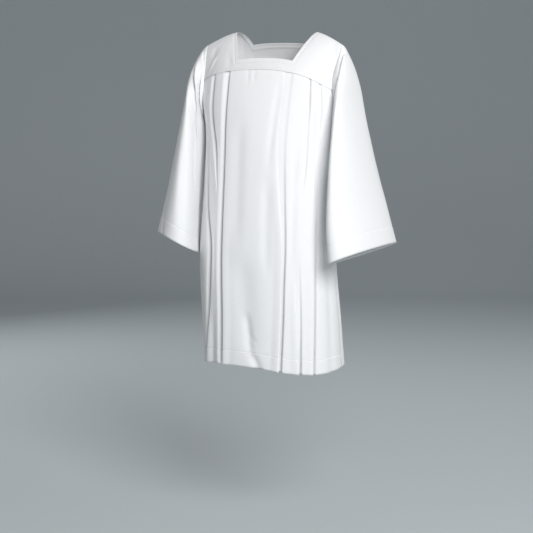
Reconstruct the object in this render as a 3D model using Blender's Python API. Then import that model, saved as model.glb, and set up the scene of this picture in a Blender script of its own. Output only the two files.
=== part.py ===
"""Square-yoked surplice in its worn form: six cut pieces of white cloth, hollow and open.

Frame: metres, +Z up, +X to the wearer's left, the front faces -Y.  The origin is the middle of the
neck opening, at the height where the yoke bears on the shoulders.
"""
import bmesh
import bpy
import numpy as np

MM = 0.001

# Cloth
WALL = 1.2 * MM                # thickness of one layer
SEAM_GAP = 0.3 * MM            # clearance between two pieces along a seam
SIDE_GAP = SEAM_GAP / 2

# Neck opening and yoke
NECK_HALF = 0.123              # half the opening where it crosses the shoulders
NECK_CORNERS = {               # half the straight edge, and its reach from the shoulder line
    "front": {"half": 0.083, "reach": 0.095},
    "back": {"half": 0.092, "reach": 0.052},
}
ARM_HALF = 0.204               # half the yoke, armhole to armhole
SHOULDER_DROP = 0.94           # shoulder line falls by this times (distance from the neck) ** power
SHOULDER_POWER = 1.3
SHOULDER_FORWARD = 0.018       # the armhole end of the shoulder line lies in front of the neck end
YOKE_ROUND = {"front": 1.4, "back": 2.2}      # power of the fall from the shoulder line to the seam

# Levels of the body
UNDERARM_Z = -0.27
HEM_Z = -0.963

# Outline of the body by height: the middle sways a little, and each quarter is a superellipse
ROUNDNESS = 2.3
BODY_COLUMNS = ("z", "middle_x", "middle_y", "half_width", "front", "back")
BODY_ROWS = (
    (-0.06, 0.000, -0.015, 0.234, 0.098, 0.104),
    (-0.105, 0.000, -0.016, 0.234, 0.108, 0.112),
    (-0.15, 0.000, -0.018, 0.228, 0.117, 0.118),
    (-0.27, -0.003, -0.025, 0.198, 0.132, 0.122),
    (-0.42, -0.006, -0.036, 0.194, 0.134, 0.120),
    (-0.66, -0.008, -0.048, 0.204, 0.134, 0.128),
    (-0.82, -0.001, -0.036, 0.207, 0.150, 0.142),
    (-0.99, 0.005, -0.022, 0.208, 0.165, 0.156),
)

# Yoke seams: height in the middle, and how far each end hangs below it
SEAM_POWER = 2.2
SEAMS = {
    "front": {"z": -0.105, "drop_right": 0.030, "drop_left": 0.060},
    "back": {"z": -0.122, "drop_right": 0.030, "drop_left": 0.036},
}

# Hem: extra height around the body, by distance from the centre front along the hem
HEM_COLUMNS = ("turn", "lift")
HEM_ROWS = (
    (-180, 0.002),
    (-90, -0.006),
    (-50, 0.012),
    (0, 0.014),
    (35, 0.000),
    (60, -0.004),
    (90, 0.002),
    (180, 0.002),
)

# Pleats: folded edges along the body from the centre, at the seam and at the hem
PLEAT_COLUMNS = ("at_seam", "at_hem", "under_seam", "under_hem")
PLEATS = {
    ("front", "right"): ((0.100, 0.110, 0.036, 0.030), (0.153, 0.138, 0.034, 0.012),
                         (0.193, 0.180, 0.022, 0.022)),
    ("front", "left"): ((0.098, 0.078, 0.036, 0.030), (0.145, 0.130, 0.030, 0.026),
                        (0.182, 0.172, 0.020, 0.020)),
    ("back", "right"): ((0.100, 0.104, 0.036, 0.030), (0.153, 0.156, 0.034, 0.026),
                        (0.193, 0.200, 0.022, 0.020)),
    ("back", "left"): ((0.100, 0.098, 0.036, 0.030), (0.153, 0.150, 0.034, 0.026),
                       (0.193, 0.196, 0.022, 0.020)),
}
LAYER_SEAM = 2.2 * MM          # spacing of the pleat's three layers where they are sewn
LAYER_HEM = 5.0 * MM           # and at the hem, where they fall open
EDGE_LIFT = 3.0 * MM           # the folded edge stands off by this at the hem
CLEAR_OF_FOLD = 4.0 * MM
RISE = 14.0 * MM               # from the folded edge to where the cloth is back at the surface

# Sleeves: sections from the armhole to the cuff, given outwards from the body for either side,
# then how each sleeve hangs differently, growing towards its cuff
SLEEVE_COLUMNS = ("along", "outer_x", "outer_z", "inner_x", "inner_z", "middle_y", "half_depth", "turn")
SLEEVE_ROWS = (
    (0.00, 0.204, -0.036, 0.198, -0.270, -0.022, 0.066, 0),
    (0.06, 0.228, -0.055, 0.203, -0.278, -0.026, 0.074, 2),
    (0.13, 0.237, -0.092, 0.209, -0.300, -0.032, 0.083, 4),
    (0.24, 0.246, -0.152, 0.213, -0.345, -0.041, 0.096, 7),
    (0.38, 0.259, -0.232, 0.217, -0.405, -0.051, 0.109, 10),
    (0.56, 0.280, -0.345, 0.222, -0.480, -0.062, 0.122, 13),
    (0.77, 0.307, -0.470, 0.229, -0.565, -0.071, 0.134, 16),
    (1.00, 0.343, -0.602, 0.234, -0.648, -0.075, 0.140, 17),
)
SLEEVE_ROUNDNESS = 2.1
SLEEVE_HANG = {
    "left": {"raised": 0.006, "front_lift": -0.06, "fuller": 0.000, "closer": 0.000, "inner_drop": 0.000},
    "right": {"raised": 0.020, "front_lift": 0.14, "fuller": 0.006, "closer": 0.019, "inner_drop": 0.012},
}
SLEEVE_BLEND = 0.24            # part of the sleeve over which the armhole's shape gives way

# Mesh
ARMHOLE_STEPS = 4
YOKE_STEPS = 4
SKIRT_STEPS = 9
ARC_STEPS = 60                 # points along a quarter of the body's outline
NEAR_CENTRE = 0.035            # first corner of a panel's section beside its centre line
SEAM_BREAK = 0.050             # first change of slope of the yoke seam
SHORTEST_SIDE = 4.0 * MM       # least width of panel between the last pleat and the side
SIDE_PARTS = (0.33, 0.67, 1.0)
SHARP_EDGE = 50.0              # degrees


def column(rows, columns, name, at):
    """Smooth curve through one column of a table, over its first column."""
    ordered = sorted(rows)
    where = np.array([row[0] for row in ordered])
    value = np.array([row[columns.index(name)] for row in ordered])
    slope = np.gradient(value, where)
    at = np.clip(at, where[0], where[-1])
    k = np.clip(np.searchsorted(where, at) - 1, 0, len(where) - 2)
    width = where[k + 1] - where[k]
    t = (at - where[k]) / width
    return (value[k] * (1 + 2 * t) * (1 - t) ** 2 + value[k + 1] * t * t * (3 - 2 * t)
            + width * (slope[k] * t * (1 - t) ** 2 - slope[k + 1] * t * t * (1 - t)))


def body(name, z):
    """One size of the body outline at a height."""
    return column(BODY_ROWS, BODY_COLUMNS, name, z)


def body_arc(face, z):
    """Quarter of the outline at a height: points, outward normals and length from the centre."""
    turn = np.radians(np.linspace(0.0, 90.0, ARC_STEPS + 1))
    depth = body(face, z)
    width = body("half_width", z)
    across = np.sin(turn) ** (2 / ROUNDNESS)
    along = np.cos(turn) ** (2 / ROUNDNESS)
    points = np.stack([width * across, depth * along], axis=1)
    step = np.hypot(*np.diff(points, axis=0).T)
    length = np.concatenate([[0.0], np.cumsum(step)])
    normal = np.stack([across ** (ROUNDNESS - 1) / width, along ** (ROUNDNESS - 1) / depth], axis=1)
    normal /= np.hypot(*normal.T)[:, None]
    return points, normal, length


def on_body(face, s, level, z):
    """Point at a signed distance s along the body from its centre line, level metres outside it."""
    points, normal, length = body_arc(face, z)
    reach = min(abs(s), length[-1])
    spot = [np.interp(reach, length, points[:, k]) for k in (0, 1)]
    out = np.array([np.interp(reach, length, normal[:, k]) for k in (0, 1)])
    out /= np.hypot(*out)
    sign = np.array([1.0 if s >= 0 else -1.0, -1.0 if face == "front" else 1.0])
    middle = np.array([body("middle_x", z), body("middle_y", z)])
    x, y = middle + sign * (spot + out * level)
    return np.array([x, y, z])


def side_of(s):
    """The wearer's side of a signed distance: +X is the wearer's left."""
    return "left" if s >= 0 else "right"


def arc_to(face, x, z):
    """Distance along the body from its centre to where the outline reaches a half-width x."""
    points, _, length = body_arc(face, z)
    return float(np.interp(x, points[:, 0], length))


def quarter(face, z):
    """Distance along the body from its centre to the side."""
    return float(body_arc(face, z)[2][-1])


def seam_breaks(face, side):
    """Distances along the yoke seam at which it changes slope, the last one at the armhole."""
    seam = SEAMS[face]
    end_z = seam["z"] - seam["drop_" + side]
    folds = [row[0] for row in PLEATS[face, side]]
    return [0.0, SEAM_BREAK] + folds + [arc_to(face, ARM_HALF, end_z)]


def seam_z(face, s):
    """Height of the yoke seam: straight from one break to the next."""
    side = side_of(s)
    breaks = np.array(seam_breaks(face, side))
    drop = SEAMS[face]["drop_" + side] * (breaks / breaks[-1]) ** SEAM_POWER
    return SEAMS[face]["z"] - float(np.interp(abs(s), breaks, drop))


def hem_z(face, s):
    """Height of the hem under a point of the body."""
    turn = 90.0 * s / quarter(face, HEM_Z)
    if face == "back":
        turn = np.sign(s) * 180.0 - turn if s else 180.0
    return HEM_Z + column(HEM_ROWS, HEM_COLUMNS, "lift", float(turn))


def edge_s(face, side, z):
    """Distance along the body from the centre to the panel's edge: armhole, then side seam."""
    if z <= UNDERARM_Z:
        return quarter(face, z) - SIDE_GAP
    top = seam_z(face, seam_breaks(face, side)[-1] * (1 if side == "left" else -1))
    dropped = min(1.0, (top - z) / (top - UNDERARM_Z))
    turn_in = 1.0 - np.sqrt(1.0 - dropped ** 2)
    start = arc_to(face, ARM_HALF, z)
    return start + (quarter(face, z) - start) * turn_in - SIDE_GAP


def pleat(face, side, index, down):
    """Folded edge, underlay and layer spacing of one pleat, down from 0 at the seam to 1 at the hem."""
    row = dict(zip(PLEAT_COLUMNS, PLEATS[face, side][index]))
    edge = row["at_seam"] + (row["at_hem"] - row["at_seam"]) * down
    under = row["under_seam"] + (row["under_hem"] - row["under_seam"]) * down
    layer = LAYER_SEAM + (LAYER_HEM - LAYER_SEAM) * down ** 1.5
    return edge, under, layer, EDGE_LIFT * down


def half_profile(face, side, down, edge_at):
    """Cross-section from the centre out to the edge: (distance, level) of each corner of the folds."""
    path = [(0.0, 0.0), (NEAR_CENTRE, 0.0)]
    for index in range(len(PLEATS[face, side])):
        edge, under, layer, lift = pleat(face, side, index, down)
        bend = layer / 2
        path += [
            (edge - under, 0.0),
            (edge - bend, lift),
            (edge, lift - bend),
            (edge - bend, lift - layer),
            (edge - under + bend, -layer),
            (edge - under, -1.5 * layer),
            (edge - under + bend, -2 * layer),
            (edge + CLEAR_OF_FOLD, -2 * layer),
            (edge + RISE, 0.0),
        ]
    last = min(path[-1][0], edge_at - SHORTEST_SIDE)
    path[-1] = (last, 0.0)
    path += [(last + (edge_at - last) * part, 0.0) for part in SIDE_PARTS]
    return path


def panel_rows(face):
    """Heights as (zone, fraction): from the seam to the underarm, then from there to the hem."""
    armhole = [("chest", np.sin(np.radians(90.0 * k / ARMHOLE_STEPS))) for k in range(ARMHOLE_STEPS)]
    skirt = [("skirt", k / SKIRT_STEPS) for k in range(SKIRT_STEPS + 1)]
    return armhole + skirt


def panel_z(face, zone, part, s):
    """Height of a row at a distance along the body."""
    if zone == "chest":
        top = seam_z(face, s) - SIDE_GAP
        return top + (UNDERARM_Z - top) * part
    return UNDERARM_Z + (hem_z(face, s) - UNDERARM_Z) * part


def panel_edge_z(face, side, zone, part):
    """Height of a row at the panel's edge."""
    s = seam_breaks(face, side)[-1]
    if zone == "skirt":
        s = quarter(face, HEM_Z)
    return panel_z(face, zone, part, s if side == "left" else -s)


def mitred(path):
    """Offset direction at each point of a flat path, lengthened at corners so a wall keeps its width."""
    step = np.diff(path, axis=0)
    step /= np.hypot(*step.T)[:, None]
    normal = np.stack([step[:, 1], -step[:, 0]], axis=1)
    before = np.vstack([normal[:1], normal])
    after = np.vstack([normal, normal[-1:]])
    return (before + after) / (1.0 + (before * after).sum(axis=1))[:, None]


def panel_grid(face):
    """Middle surface of a pleated panel, row by row from the seam, and its wall directions."""
    grid = []
    walls = []
    for zone, part in panel_rows(face):
        halves = {}
        for side in ("left", "right"):
            edge_z = panel_edge_z(face, side, zone, part)
            down = (SEAMS[face]["z"] - edge_z) / (SEAMS[face]["z"] - HEM_Z)
            if not grid:
                down = 0.0
            halves[side] = half_profile(face, side, down, edge_s(face, side, edge_z))
        path = [(-s, level) for s, level in reversed(halves["right"])] + halves["left"][1:]
        row = np.array([on_body(face, s, level, panel_z(face, zone, part, s)) for s, level in path])
        out = mitred(row[:, :2])
        if face == "back":
            out = -out
        grid.append(row)
        walls.append(np.column_stack([out, np.zeros(len(out))]))
    return np.array(grid), np.array(walls)


def shoulder_line(x):
    """Depth and height of the shoulder line at a distance from the middle."""
    out = max(0.0, abs(x) - NECK_HALF)
    forward = -SHOULDER_FORWARD * min(1.0, out / (ARM_HALF - NECK_HALF))
    return forward, -SHOULDER_DROP * out ** SHOULDER_POWER


def yoke_column(face, s):
    """One line of the yoke, from the neck or the shoulder line down to its seam."""
    foot_z = seam_z(face, s) + SIDE_GAP
    foot = on_body(face, s, 0.0, foot_z)
    half = NECK_CORNERS[face]["half"]
    reach = NECK_CORNERS[face]["reach"]
    ridge_y, ridge_z = shoulder_line(foot[0])
    end = abs(foot[1] - ridge_y)
    start = reach * np.clip((NECK_HALF - abs(foot[0])) / (NECK_HALF - half), 0.0, 1.0)
    out = max(start, SIDE_GAP) + (end - max(start, SIDE_GAP)) * np.linspace(0.0, 1.0, YOKE_STEPS + 1)
    z = ridge_z - (ridge_z - foot_z) * (out / end) ** YOKE_ROUND[face]
    y = ridge_y - out if face == "front" else ridge_y + out
    return np.stack([np.full(len(y), foot[0]), y, z], axis=1)


def yoke_stations(face, side):
    """Distances along the seam: its breaks, the neck's corner and the points between."""
    breaks = seam_breaks(face, side)
    corners = [NECK_CORNERS[face]["half"], NECK_HALF]
    return sorted(set(breaks + [arc_to(face, x, SEAMS[face]["z"]) for x in corners]))


def yoke_grid(face):
    """Middle surface of a yoke, column by column from the wearer's right, and its wall directions."""
    right = [-s for s in reversed(yoke_stations(face, "right"))]
    left = yoke_stations(face, "left")[1:]
    columns = np.array([yoke_column(face, s) for s in right + left])
    columns[0, :, 0] = -ARM_HALF + SIDE_GAP
    columns[-1, :, 0] = ARM_HALF - SIDE_GAP
    grid = columns.transpose(1, 0, 2)
    out = grid_normals(grid)
    out[0, :, 1] = 0.0
    out[-1, :, 2] = 0.0
    out[:, 0, 0] = 0.0
    out[:, -1, 0] = 0.0
    out /= np.linalg.norm(out, axis=2)[:, :, None]
    return grid, out if face == "front" else -out


def grid_normals(grid):
    """Unit normals of a grid of points."""
    down = np.gradient(grid, axis=0)
    across = np.gradient(grid, axis=1)
    normal = np.cross(down, across)
    return normal / np.linalg.norm(normal, axis=2)[:, :, None]


def armhole(side):
    """Armhole from the shoulder down the front, under the arm and up the back."""
    sign = 1.0 if side == "left" else -1.0
    rim = []
    for face in ("front", "back"):
        half = []
        yoke = yoke_column(face, sign * seam_breaks(face, side)[-1])
        half += [(sign * ARM_HALF, y, z) for _, y, z in yoke]
        for zone, part in panel_rows(face)[1:ARMHOLE_STEPS + 1]:
            z = panel_edge_z(face, side, zone, part)
            half.append(tuple(on_body(face, sign * (edge_s(face, side, z) + SIDE_GAP), 0.0, z)))
        rim.append(half)
    front, back = rim
    return np.array(front + back[-2:0:-1])


def sleeve_grid(side):
    """Middle surface of a sleeve, ring by ring from the armhole to the cuff."""
    sign = 1.0 if side == "left" else -1.0
    start = armhole(side)
    start[0, 1] = (start[1, 1] + start[-1, 1]) / 2
    start[:, 0] *= sign
    count = len(start)
    under = count // 2
    step = np.linalg.norm(np.diff(np.vstack([start, start[:1]]), axis=0), axis=1)
    length = np.concatenate([[0.0], np.cumsum(step)])
    front_part = length[:under] / length[under]
    back_part = (length[under:-1] - length[under]) / (length[-1] - length[under])
    turn = np.pi * np.concatenate([front_part, 1.0 + back_part])
    start[:, 0] += SIDE_GAP + SEAM_GAP + WALL * (1.0 - np.cos(turn)) / 2

    power = 2 / SLEEVE_ROUNDNESS
    across = np.sign(np.cos(turn)) * np.abs(np.cos(turn)) ** power
    forward = np.sign(np.sin(turn)) * np.abs(np.sin(turn)) ** power
    grid = []
    for row in SLEEVE_ROWS:
        at = dict(zip(SLEEVE_COLUMNS, row))
        lean = np.radians(at["turn"])
        hang = SLEEVE_HANG[side]
        raised = hang["raised"] * at["along"]
        fuller = hang["fuller"] * 4 * at["along"] * (1 - at["along"])
        outer = np.array([at["outer_x"] + fuller, at["middle_y"], at["outer_z"] + raised])
        inner = np.array([at["inner_x"] - hang["closer"] * at["along"], at["middle_y"],
                          at["inner_z"] + raised - hang["inner_drop"] * at["along"]])
        front = at["half_depth"] * np.array([-np.sin(lean), -np.cos(lean),
                                             hang["front_lift"] * at["along"]])
        ring = (outer + inner) / 2 + np.outer(across, (outer - inner) / 2) + np.outer(forward, front)
        blend = min(1.0, at["along"] / SLEEVE_BLEND)
        blend = blend * blend * (3 - 2 * blend)
        grid.append(start + (ring - start) * blend if at["along"] < SLEEVE_BLEND else ring)
    grid = np.array(grid)
    grid[:, :, 0] *= sign
    return grid


def make_wall(name, grid, out, material, closed=False):
    """Closed wall of cloth: the grid moved half a wall each way, with its rims joined."""
    rows, count = grid.shape[:2]
    points = np.vstack([(grid + out * WALL / 2).reshape(-1, 3), (grid - out * WALL / 2).reshape(-1, 3)])
    index = np.arange(2 * rows * count).reshape(2, rows, count)
    if closed:
        index = np.concatenate([index, index[:, :, :1]], axis=2)
    faces = []
    for side in index:
        faces += quads(side)
    faces += quads(index[:, 0]) + quads(index[:, -1])
    if not closed:
        faces += quads(index[:, :, 0]) + quads(index[:, :, -1])
    mesh = bpy.data.meshes.new(name)
    mesh.from_pydata(points.tolist(), [], faces)
    mesh.materials.append(material)
    shape = bmesh.new()
    shape.from_mesh(mesh)
    bmesh.ops.recalc_face_normals(shape, faces=shape.faces)
    shape.to_mesh(mesh)
    shape.free()
    mesh.shade_smooth()
    mesh.set_sharp_from_angle(angle=np.radians(SHARP_EDGE))
    bpy.context.collection.objects.link(bpy.data.objects.new(name, mesh))


def quads(index):
    """Faces between the neighbours of a two-way list of point numbers."""
    corners = np.stack([index[:-1, :-1], index[:-1, 1:], index[1:, 1:], index[1:, :-1]], axis=-1)
    return corners.reshape(-1, 4).tolist()


def cloth_material(name, colour):
    """Matt white polyester and cotton."""
    material = bpy.data.materials.new(name)
    material.use_nodes = True
    shader = material.node_tree.nodes["Principled BSDF"]
    shader.inputs["Base Color"].default_value = (*colour, 1.0)
    shader.inputs["Roughness"].default_value = 0.85
    shader.inputs["Metallic"].default_value = 0.0
    return material


for old in list(bpy.data.objects):
    bpy.data.objects.remove(old, do_unlink=True)

white = cloth_material("white_cloth", (0.90, 0.90, 0.91))
for face in ("front", "back"):
    grid, out = panel_grid(face)
    make_wall(face + "_panel", grid, out, white)
    grid, out = yoke_grid(face)
    make_wall("yoke_" + face, grid, out, white)
for side in ("left", "right"):
    grid = sleeve_grid(side)
    out = grid_normals(np.concatenate([grid[:, -1:], grid, grid[:, :1]], axis=1))[:, 1:-1]
    make_wall("sleeve_" + side, grid, -out if side == "left" else out, white, closed=True)
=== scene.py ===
import bpy
import numpy as np
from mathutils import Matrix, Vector


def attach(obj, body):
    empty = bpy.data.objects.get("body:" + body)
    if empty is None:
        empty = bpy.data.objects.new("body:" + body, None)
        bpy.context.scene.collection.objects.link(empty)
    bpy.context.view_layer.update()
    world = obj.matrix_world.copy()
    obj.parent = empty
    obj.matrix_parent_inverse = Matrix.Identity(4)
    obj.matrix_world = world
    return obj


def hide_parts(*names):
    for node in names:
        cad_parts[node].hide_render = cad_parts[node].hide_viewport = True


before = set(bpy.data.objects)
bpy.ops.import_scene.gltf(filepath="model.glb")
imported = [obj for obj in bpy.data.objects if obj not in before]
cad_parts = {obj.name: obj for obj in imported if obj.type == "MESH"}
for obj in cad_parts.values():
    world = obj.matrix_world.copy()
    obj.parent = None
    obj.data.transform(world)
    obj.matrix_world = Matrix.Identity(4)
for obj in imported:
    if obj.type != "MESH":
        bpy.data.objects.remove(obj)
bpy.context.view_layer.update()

# ---------------------------------------------------------------------------------------------------
# Front yoke.  The real one is a square-necked band of white polyester and cotton, cut double, turned
# out and topstitched round the neck.  It lies over the front of the shoulders and carries the pleats.

CLOTH = 0.0006                 # thickness of the sewn cloth
SEAM_GAP = 0.0003              # between two pieces at a seam
NECK_HALF = 0.123              # half width of the neck opening at the shoulder line
ARM_HALF = 0.204               # half width across the shoulders, to the armhole seams
NECK = {
    # half width at the far edge, the edge's distance from the shoulder line, how the yoke rounds over
    "front": {"half": 0.083, "reach": 0.095, "round": 1.4},
    "back": {"half": 0.092, "reach": 0.052, "round": 2.2},
}
SEAM = {
    # height of the yoke seam in the middle, and how much lower it is at each armhole
    "front": {"z": -0.105, "right": 0.030, "left": 0.060},
    "back": {"z": -0.122, "right": 0.030, "left": 0.036},
}
SEAM_FALL = 2.2                # power by which the seam falls away from the middle
SEAM_STATIONS = (0.0, 0.05, 0.10, 0.15, 0.19)
SHOULDER_FALL = 0.94           # the shoulder line falls by this times a power of the distance out
SHOULDER_POWER = 1.3
SHOULDER_FORWARD = 0.018       # the shoulder line comes forward by this at the armhole
SCOOP = {
    # how far the armholes are drawn in and at what height; where that starts and over what distance
    "front": 0.011, "back": 0.005, "z": -0.135, "height": 0.065,
    "y_start": 0.010, "y_over": 0.050, "x_start": 0.110, "x_over": 0.085,
}
ROUNDNESS = 2.3                # power of the body's superellipse
HEIGHT_STEPS = 240
TURN_STEPS = 161
QUARTER_STEPS = 301
BODY = np.array([
    # z, middle_x, middle_y, half_width, front, back
    (-0.99, 0.005, -0.022, 0.208, 0.165, 0.156),
    (-0.82, -0.001, -0.036, 0.207, 0.150, 0.142),
    (-0.66, -0.008, -0.048, 0.204, 0.134, 0.128),
    (-0.42, -0.006, -0.036, 0.194, 0.134, 0.120),
    (-0.27, -0.003, -0.025, 0.198, 0.132, 0.122),
    (-0.15, 0.000, -0.018, 0.228, 0.117, 0.118),
    (-0.105, 0.000, -0.016, 0.234, 0.108, 0.112),
    (-0.06, 0.000, -0.015, 0.234, 0.098, 0.104),
])


def smooth(t):
    """Ease from 0 to 1: three times the square less twice the cube, held at both ends."""
    t = np.clip(t, 0.0, 1.0)
    return t * t * (3.0 - 2.0 * t)


def through(rows, at):
    """Smooth curves through a table over its first column: cubic Hermite, slopes from the neighbours."""
    where, value = rows[:, 0], rows[:, 1:]
    slope = np.gradient(value, where, axis=0)
    at = np.clip(np.asarray(at, float), where[0], where[-1])
    k = np.clip(np.searchsorted(where, at) - 1, 0, len(where) - 2)
    width = (where[k + 1] - where[k])[..., None]
    t = (at - where[k])[..., None] / width
    return (value[k] * (1 + 2 * t) * (1 - t) ** 2 + value[k + 1] * t * t * (3 - 2 * t)
            + width * t * (1 - t) * (slope[k] * (1 - t) - slope[k + 1] * t))


def outline(face):
    """Quarter outlines of the body by height: a superellipse, spaced evenly along its length.

    Across is the half width times sine to the power 2/n, along is the depth times cosine to it."""
    z = np.linspace(BODY[0, 0], BODY[-1, 0], HEIGHT_STEPS)
    middle_x, middle_y, half_width, front, back = through(BODY, z).T
    depth = front if face == "front" else back
    turn = np.linspace(0.0, np.pi / 2, TURN_STEPS)
    across = np.sin(turn) ** (2 / ROUNDNESS)
    along = np.clip(np.cos(turn), 0.0, None) ** (2 / ROUNDNESS)
    x = half_width[:, None] * across
    y = depth[:, None] * along
    out = np.stack([across ** (ROUNDNESS - 1) / half_width[:, None],
                    along ** (ROUNDNESS - 1) / depth[:, None]])
    out /= np.hypot(*out)
    length = np.concatenate([np.zeros((len(z), 1)),
                             np.cumsum(np.hypot(np.diff(x), np.diff(y)), axis=1)], axis=1)
    share = np.linspace(0.0, 1.0, QUARTER_STEPS)
    spread = [[np.interp(share * run[-1], run, values) for run, values in zip(length, lines)]
              for lines in (x, y, out[0], out[1])]
    return {"z": z, "quarter": length[:, -1], "lines": np.array(spread),
            "middle": np.stack([middle_x, middle_y])}


OUTLINE = {face: outline(face) for face in ("front", "back")}


def quarter(face, z):
    """Length of the body's outline from the middle to the side, at a height."""
    return np.interp(z, OUTLINE[face]["z"], OUTLINE[face]["quarter"])


def on_body(face, s, level, z):
    """Point at signed distance s round the body from its middle line, level outside it, at height z."""
    form = OUTLINE[face]
    s, level, z = np.broadcast_arrays(s, level, z)
    i = np.clip((z - form["z"][0]) / (form["z"][1] - form["z"][0]), 0, len(form["z"]) - 1.001)
    j = np.clip(np.abs(s) / quarter(face, z), 0.0, 1.0) * (form["lines"].shape[2] - 1.001)
    i0, j0 = i.astype(int), j.astype(int)
    di, dj = i - i0, j - j0
    lines = form["lines"]
    spot = ((lines[:, i0, j0] * (1 - dj) + lines[:, i0, j0 + 1] * dj) * (1 - di)
            + (lines[:, i0 + 1, j0] * (1 - dj) + lines[:, i0 + 1, j0 + 1] * dj) * di)
    middle = form["middle"][:, i0] * (1 - di) + form["middle"][:, i0 + 1] * di
    normal = spot[2:] / np.hypot(spot[2], spot[3])
    x = middle[0] + np.where(s < 0, -1.0, 1.0) * (spot[0] + normal[0] * level)
    y = middle[1] + (spot[1] + normal[1] * level) * (-1.0 if face == "front" else 1.0)
    return np.stack([x, y, z], axis=-1)


def seam_breaks(face, side):
    """Distances from the middle between which the yoke seam runs straight, the last at the armhole."""
    form = OUTLINE[face]
    row = np.argmin(np.abs(form["z"] - (SEAM[face]["z"] - SEAM[face][side])))
    run = np.linspace(0.0, form["quarter"][row], QUARTER_STEPS)
    return np.array([*SEAM_STATIONS, np.interp(ARM_HALF, form["lines"][0, row], run)])


def seam_z(face, s):
    """Height of the yoke seam: it falls with a power of the distance from the middle."""
    s = np.asarray(s, float)
    drops = []
    for side in ("right", "left"):
        breaks = seam_breaks(face, side)
        drop = SEAM[face][side] * (breaks / breaks[-1]) ** SEAM_FALL
        drops.append(np.interp(np.abs(s), breaks, drop))
    return SEAM[face]["z"] - np.where(s < 0, drops[0], drops[1])


def yoke_point(face, x, share):
    """Point of the yoke at x, share of the way from its top edge down to the seam.

    Height falls from the shoulder line by a power of the distance from it, as a part of the whole."""
    form = OUTLINE[face]
    row = np.argmin(np.abs(form["z"] - SEAM[face]["z"]))
    run = np.linspace(0.0, form["quarter"][row], QUARTER_STEPS)
    s = np.sign(x) * np.interp(np.abs(x), form["lines"][0, row], run)
    foot_z = seam_z(face, s)
    middle_x, middle_y, half_width, front, back = np.moveaxis(through(BODY, foot_z), -1, 0)
    depth = front if face == "front" else back
    inside = np.clip(1.0 - (np.abs(x - middle_x) / half_width) ** ROUNDNESS, 0.0, 1.0)
    sign = -1.0 if face == "front" else 1.0
    foot_y = middle_y + sign * depth * inside ** (1 / ROUNDNESS)
    out = np.clip(np.abs(x) - NECK_HALF, 0.0, None)
    ridge_y = -SHOULDER_FORWARD * np.clip(out / (ARM_HALF - NECK_HALF), 0.0, 1.0)
    ridge_z = -SHOULDER_FALL * out ** SHOULDER_POWER
    end = np.abs(foot_y - ridge_y)
    neck = NECK[face]
    start = neck["reach"] * np.clip((NECK_HALF - np.abs(x)) / (NECK_HALF - neck["half"]), 0.0, 1.0)
    start = np.maximum(start, SEAM_GAP / 2)
    away = start + (end - start) * share
    z = ridge_z - (ridge_z - foot_z - SEAM_GAP / 2) * (away / end) ** neck["round"]
    return np.stack(np.broadcast_arrays(x, ridge_y + sign * away, z), axis=-1)


def scooped(points):
    """Draw the armholes in: a bell over height, eased in across the body and away from the shoulder."""
    x, y, z = np.moveaxis(points, -1, 0)
    depth = np.where(y < 0, SCOOP["front"], SCOOP["back"])
    depth = depth * smooth((np.abs(y) - SCOOP["y_start"]) / SCOOP["y_over"])
    depth = depth * np.exp(-((z - SCOOP["z"]) / SCOOP["height"]) ** 2)
    depth = depth * smooth((np.abs(x) - SCOOP["x_start"]) / SCOOP["x_over"])
    return np.stack([x - np.sign(x) * depth, y, z], axis=-1)


def grid_normals(grid):
    """Unit normals of a grid: the cross product of its two directions."""
    normal = np.cross(np.gradient(grid, axis=0), np.gradient(grid, axis=1))
    return normal / np.linalg.norm(normal, axis=-1, keepdims=True)


def cloth_uv(grid):
    """Flat place of each point in metres: lengths run along the rows and down the columns."""
    u = np.cumsum(np.linalg.norm(np.diff(grid, axis=1, prepend=grid[:, :1]), axis=2), axis=1)
    v = np.cumsum(np.linalg.norm(np.diff(grid, axis=0, prepend=grid[:1]), axis=2), axis=0)
    u = u - u[:, u.shape[1] // 2, None]
    return np.stack([u, v.mean(axis=1)[:, None] + 0.0 * u], axis=-1)


def cloth_piece(name, grid, closed=False, turned=False):
    """Thin shell of cloth on a grid of points, with its flat measure as a UV map."""
    uv = cloth_uv(grid)
    rows, count = grid.shape[:2]
    index = np.arange(rows * count).reshape(rows, count)
    if closed:
        index = np.concatenate([index, index[:, :1]], axis=1)
        wrap = uv[:, -1:] + np.array([np.linalg.norm(grid[:, -1] - grid[:, 0], axis=1).mean(), 0.0])
        uv = np.concatenate([uv, wrap], axis=1)
    corner = [(slice(None, -1), slice(None, -1)), (slice(None, -1), slice(1, None)),
              (slice(1, None), slice(1, None)), (slice(1, None), slice(None, -1))]
    if turned:
        corner = corner[::-1]
    faces = np.stack([index[c] for c in corner], axis=-1).reshape(-1, 4)
    places = np.stack([uv[c] for c in corner], axis=2).reshape(-1, 2)
    mesh = bpy.data.meshes.new(name)
    mesh.from_pydata(grid.reshape(-1, 3), [], faces)
    layer = mesh.uv_layers.new(name="flat_cloth")
    layer.data.foreach_set("uv", places.astype(np.float32).ravel())
    mesh.shade_smooth()
    piece = bpy.data.objects.new(name, mesh)
    bpy.context.collection.objects.link(piece)
    shell = piece.modifiers.new("thickness", "SOLIDIFY")
    shell.thickness = CLOTH
    shell.offset = 0.0
    shell.use_even_offset = False
    return piece


YARN = 0.00055                 # from one yarn to the next


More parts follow.
